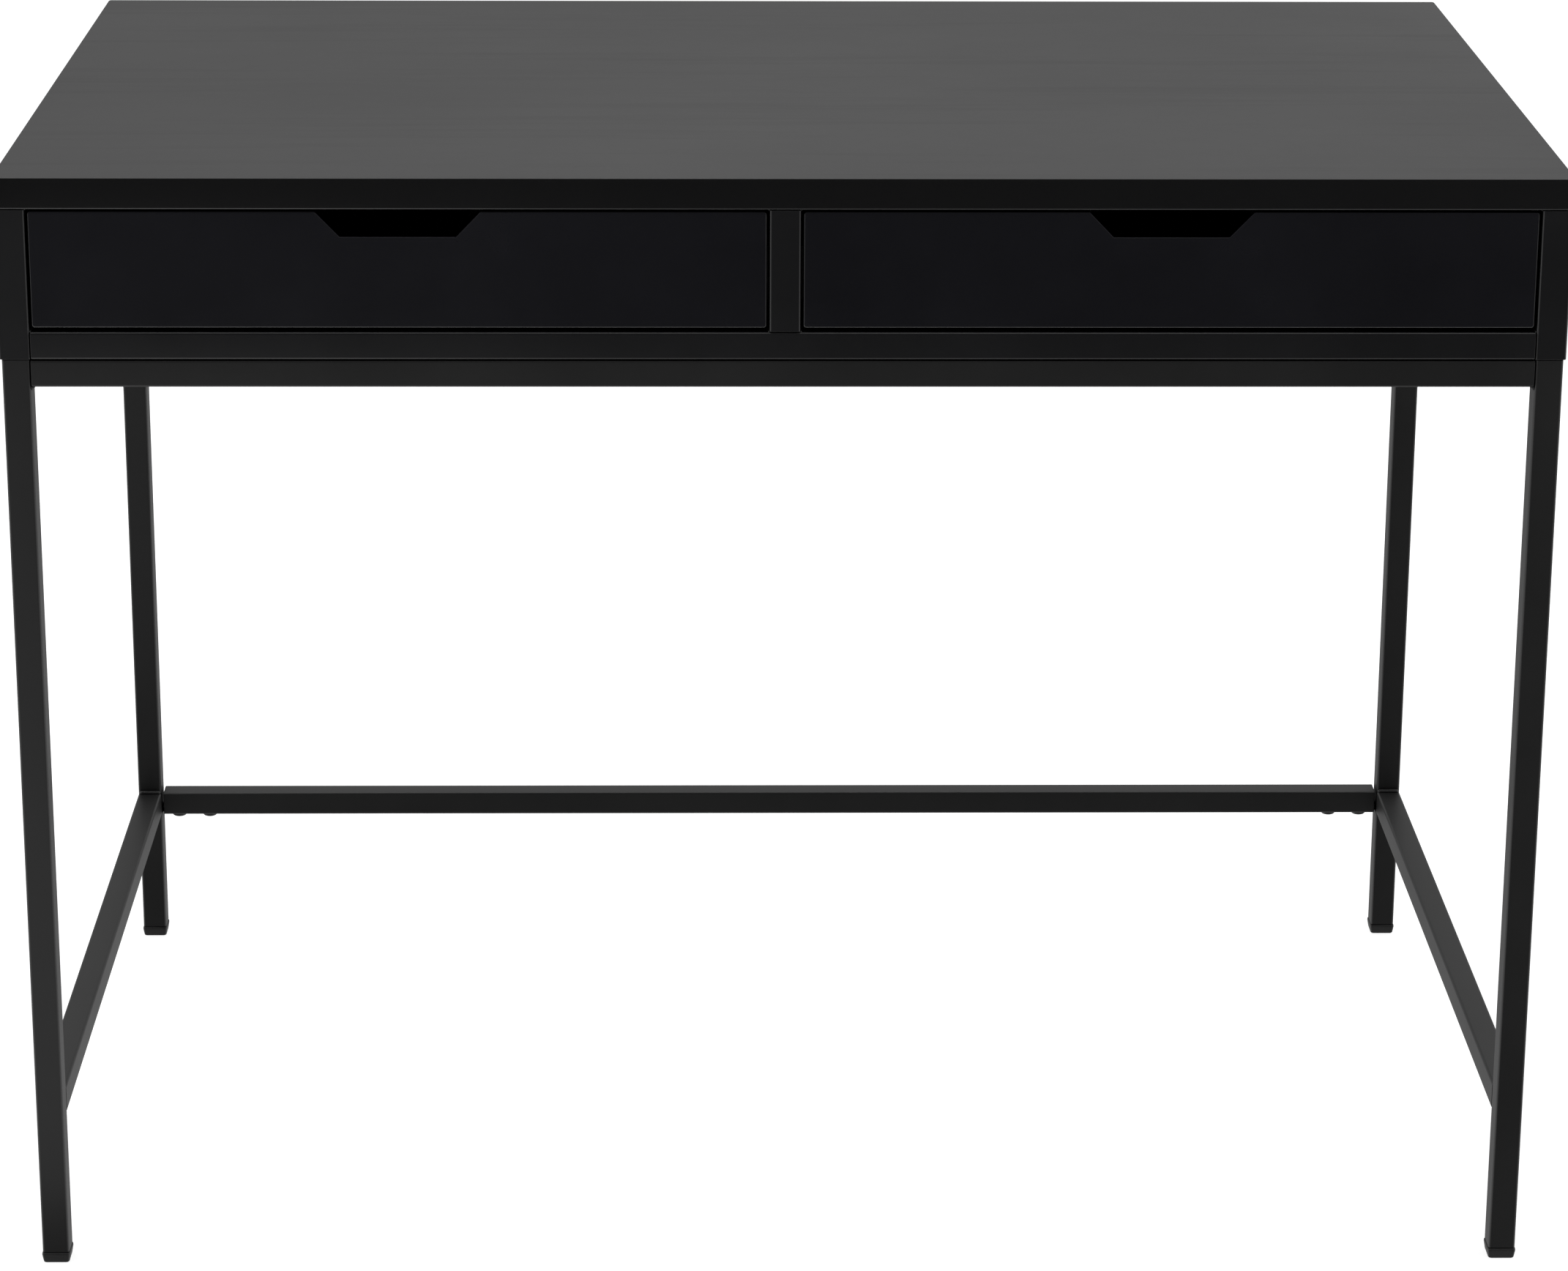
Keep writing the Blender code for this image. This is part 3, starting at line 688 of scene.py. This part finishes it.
def case_welds(material):
    """Small beads in the case's corners: at the head and foot of each post, beside the drawer openings."""
    rail_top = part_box("case_front_rail")[1].z
    top_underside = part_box("tabletop")[0].z
    up = Vector((0.0, 0.0, 1.0))
    for post in ("left", "centre", "right"):
        low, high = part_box(f"front_post_{post}")
        faces = []
        if post != "left":
            faces.append((low.x, Vector((-1.0, 0.0, 0.0))))
        if post != "right":
            faces.append((high.x, Vector((1.0, 0.0, 0.0))))
        shape = bmesh.new()
        for x, out in faces:
            for z, along in ((rail_top, up), (top_underside, -up)):
                start = (x, low.y + BEAD_INSET, z)
                end = (x, high.y - BEAD_INSET, z)
                add_bead(shape, start, end, out, along, CASE_BEAD)
        add_piece(f"welds_post_{post}", shape, [material], "desk")


def turned_ring(radius, height, flats=0.0):
    """A level ring of points: round, or a hexagon that far across its flats."""
    ring = []
    for i in range(ROUND_STEPS):
        angle = 2.0 * math.pi * i / ROUND_STEPS
        reach = radius
        if flats:
            within = (angle + math.pi / 6) % (math.pi / 3) - math.pi / 6
            reach = flats / 2 / math.cos(within)
        ring.append(Vector((reach * math.cos(angle), reach * math.sin(angle), height)))
    return ring


def bolt_rings(radius, head, flats, shank, length, pitch):
    """A domed bolt with a hexagon socket, head down and seated at z = 0."""
    depth = head * SOCKET_DEPTH
    crown = flats * CROWN
    rings = [
        [Vector((0.0, 0.0, depth - head + DRILL_POINT))],
        turned_ring(0.0, depth - head, flats),
        turned_ring(0.0, SOCKET_LIP - head, flats),
        turned_ring(flats * SOCKET_RIM, -head),
        turned_ring(crown, -head),
    ]
    for i in range(1, DOME_STEPS + 1):
        angle = math.pi / 2 * i / DOME_STEPS
        reach = crown + (radius - crown) * math.sin(angle) ** 0.85
        rise = DOME_SIDE + (1.0 - DOME_SIDE) * math.cos(angle) ** 0.7
        rings.append(turned_ring(reach, -head * rise))
    rings.append(turned_ring(radius, -SEAT_CHAMFER))
    rings.append(turned_ring(radius - SEAT_CHAMFER, 0.0))
    rings.append(turned_ring(shank, 0.0))
    for i in range(int((length - THREAD_TIP) / pitch)):
        rings.append(turned_ring(shank, pitch * (i + 0.2)))
        rings.append(turned_ring(shank - THREAD_DEPTH * pitch, pitch * (i + 0.5)))
        rings.append(turned_ring(shank, pitch * (i + 0.8)))
    rings.append(turned_ring(shank, length - TIP_CHAMFER))
    rings.append(turned_ring(shank - TIP_CHAMFER, length))
    rings.append([Vector((0.0, 0.0, length))])
    return rings


def add_bolts(material):
    """A detailed bolt in place of each plain one."""
    for node in sorted(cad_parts):
        if "_bolt_" not in node:
            continue
        low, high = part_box(node)
        seat = Vector(((low.x + high.x) / 2, (low.y + high.y) / 2, low.z + BOLT_HEAD))
        radius = (high.x - low.x) / 2
        rings = bolt_rings(radius, BOLT_HEAD, BOLT_HEX, BOLT_SHANK, high.z - seat.z, BOLT_PITCH)
        shape = bmesh.new()
        loft(shape, [[point + seat for point in ring] for ring in rings])
        piece = add_piece(f"{node}_button_head", shape, [material], "desk")
        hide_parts(node)
        piece.modifiers.new("smooth_normals", "WEIGHTED_NORMAL")


def add_drawer_screws(side, material):
    """The screws that hold the runners to one drawer, with their heads inside it."""
    rings = bolt_rings(SCREW_HEAD_RADIUS, SCREW_HEAD, SCREW_HEX, SCREW_SHANK, SCREW_LENGTH, SCREW_PITCH)
    floor_low, floor_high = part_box(f"{side}_drawer_floor")
    centre = (floor_low.x + floor_high.x) / 2
    shape = bmesh.new()
    for wall in ("left", "right"):
        low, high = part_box(f"{side}_drawer_side_{wall}")
        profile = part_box(f"{side}_runner_outer_drawer_profile")
        inner = low.x + DRAWER_SHEET if (low.x + high.x) / 2 < centre else high.x - DRAWER_SHEET
        outwards = -1.0 if inner < centre else 1.0
        z = (profile[0].z + profile[1].z) / 2
        for share in SCREW_PLACES:
            y = profile[0].y + share * (profile[1].y - profile[0].y)
            place = Vector((inner, y, z))
            placed = [
                [place + Vector((outwards * point.z, point.y, point.x)) for point in ring] for ring in rings
            ]
            loft(shape, placed)
    piece = add_piece(f"{side}_drawer_screws", shape, [material], f"{side}_drawer")
    piece.modifiers.new("smooth_normals", "WEIGHTED_NORMAL")


def add_strip(shape, low, high):
    """A thin strip with chamfered long edges."""
    edge = (high.z - low.z) * CAGE_CHAMFER
    section = (
        (low.x, low.z + edge),
        (low.x, high.z - edge),
        (low.x + edge, high.z),
        (high.x - edge, high.z),
        (high.x, high.z - edge),
        (high.x, low.z + edge),
        (high.x - edge, low.z),
        (low.x + edge, low.z),
    )
    middle = ((low.x + high.x) / 2, (low.z + high.z) / 2)
    outlines = (((middle,), low.y), (section, low.y), (section, high.y), ((middle,), high.y))
    loft(shape, [[Vector((x, y, z)) for x, z in points] for points, y in outlines])


def add_ball_row(shape, centre, radius, span):
    """Balls at an even spacing along Y."""
    for i in range(int((span[1] - span[0]) / BALL_SPACING)):
        place = Vector((centre.x, span[0] + (i + 0.5) * BALL_SPACING, centre.z))
        made = bmesh.ops.create_icosphere(
            shape, subdivisions=2, radius=radius, matrix=Matrix.Translation(place)
        )
        for face in {face for vert in made["verts"] for face in vert.link_faces}:
            face.material_index = 1


def add_ball_cages(side, position, cage_material, ball_material):
    """The two pairs of ball cages between one runner's channels. They ride with its middle channel."""
    name = f"{side}_runner_{position}"
    case, middle, drawer = (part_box(f"{name}_{part}_profile") for part in ("case", "middle", "drawer"))
    shape = bmesh.new()
    for row, (around, inside) in {"outer": (case, middle), "inner": (middle, drawer)}.items():
        x_low = max(around[0].x, inside[0].x) + CAGE_MARGIN
        x_high = min(around[1].x, inside[1].x) - CAGE_MARGIN
        span = CAGE_SPANS[row]
        for sign in (-1.0, 1.0):
            edge = 1 if sign > 0 else 0
            outer_face = around[edge].z - sign * RUNNER_SHEET
            inner_face = inside[edge].z
            z = (outer_face + inner_face) / 2
            radius = abs(outer_face - inner_face) / 2 - BALL_CLEARANCE
            low = Vector((x_low, span[0], z - CAGE_SHEET / 2))
            high = Vector((x_high, span[1], z + CAGE_SHEET / 2))
            add_strip(shape, low, high)
            add_ball_row(shape, Vector(((x_low + x_high) / 2, 0.0, z)), radius, span)
    add_piece(f"{name}_ball_cages", shape, [cage_material, ball_material], f"{side}_runner_middles")


def add_details(finishes):
    """Every piece that the CAD model leaves to the visual model."""
    for side in SIDES:
        for end in ENDS:
            frame_welds(end, side, finishes["frame"])
        for position in ("outer", "inner"):
            add_ball_cages(side, position, finishes["plastic"], finishes["ball"])
        add_drawer_screws(side, finishes["bolt"])
    case_welds(finishes["case"])
    add_bolts(finishes["bolt"])


# The scene
bpy.context.scene.view_settings.view_transform = "Standard"
make_camera()
make_floor()
make_world()
make_lamps()
finishes = {name: powder_coat(f"{name}_powder_coat", **values) for name, values in COATS.items()}
finishes["zinc"] = rolled_black_zinc()
finishes["ball"] = polished_balls()
finishes["bolt"] = black_zinc()
finishes["plastic"] = black_plastic()
finish_cad(finishes)
add_details(finishes)
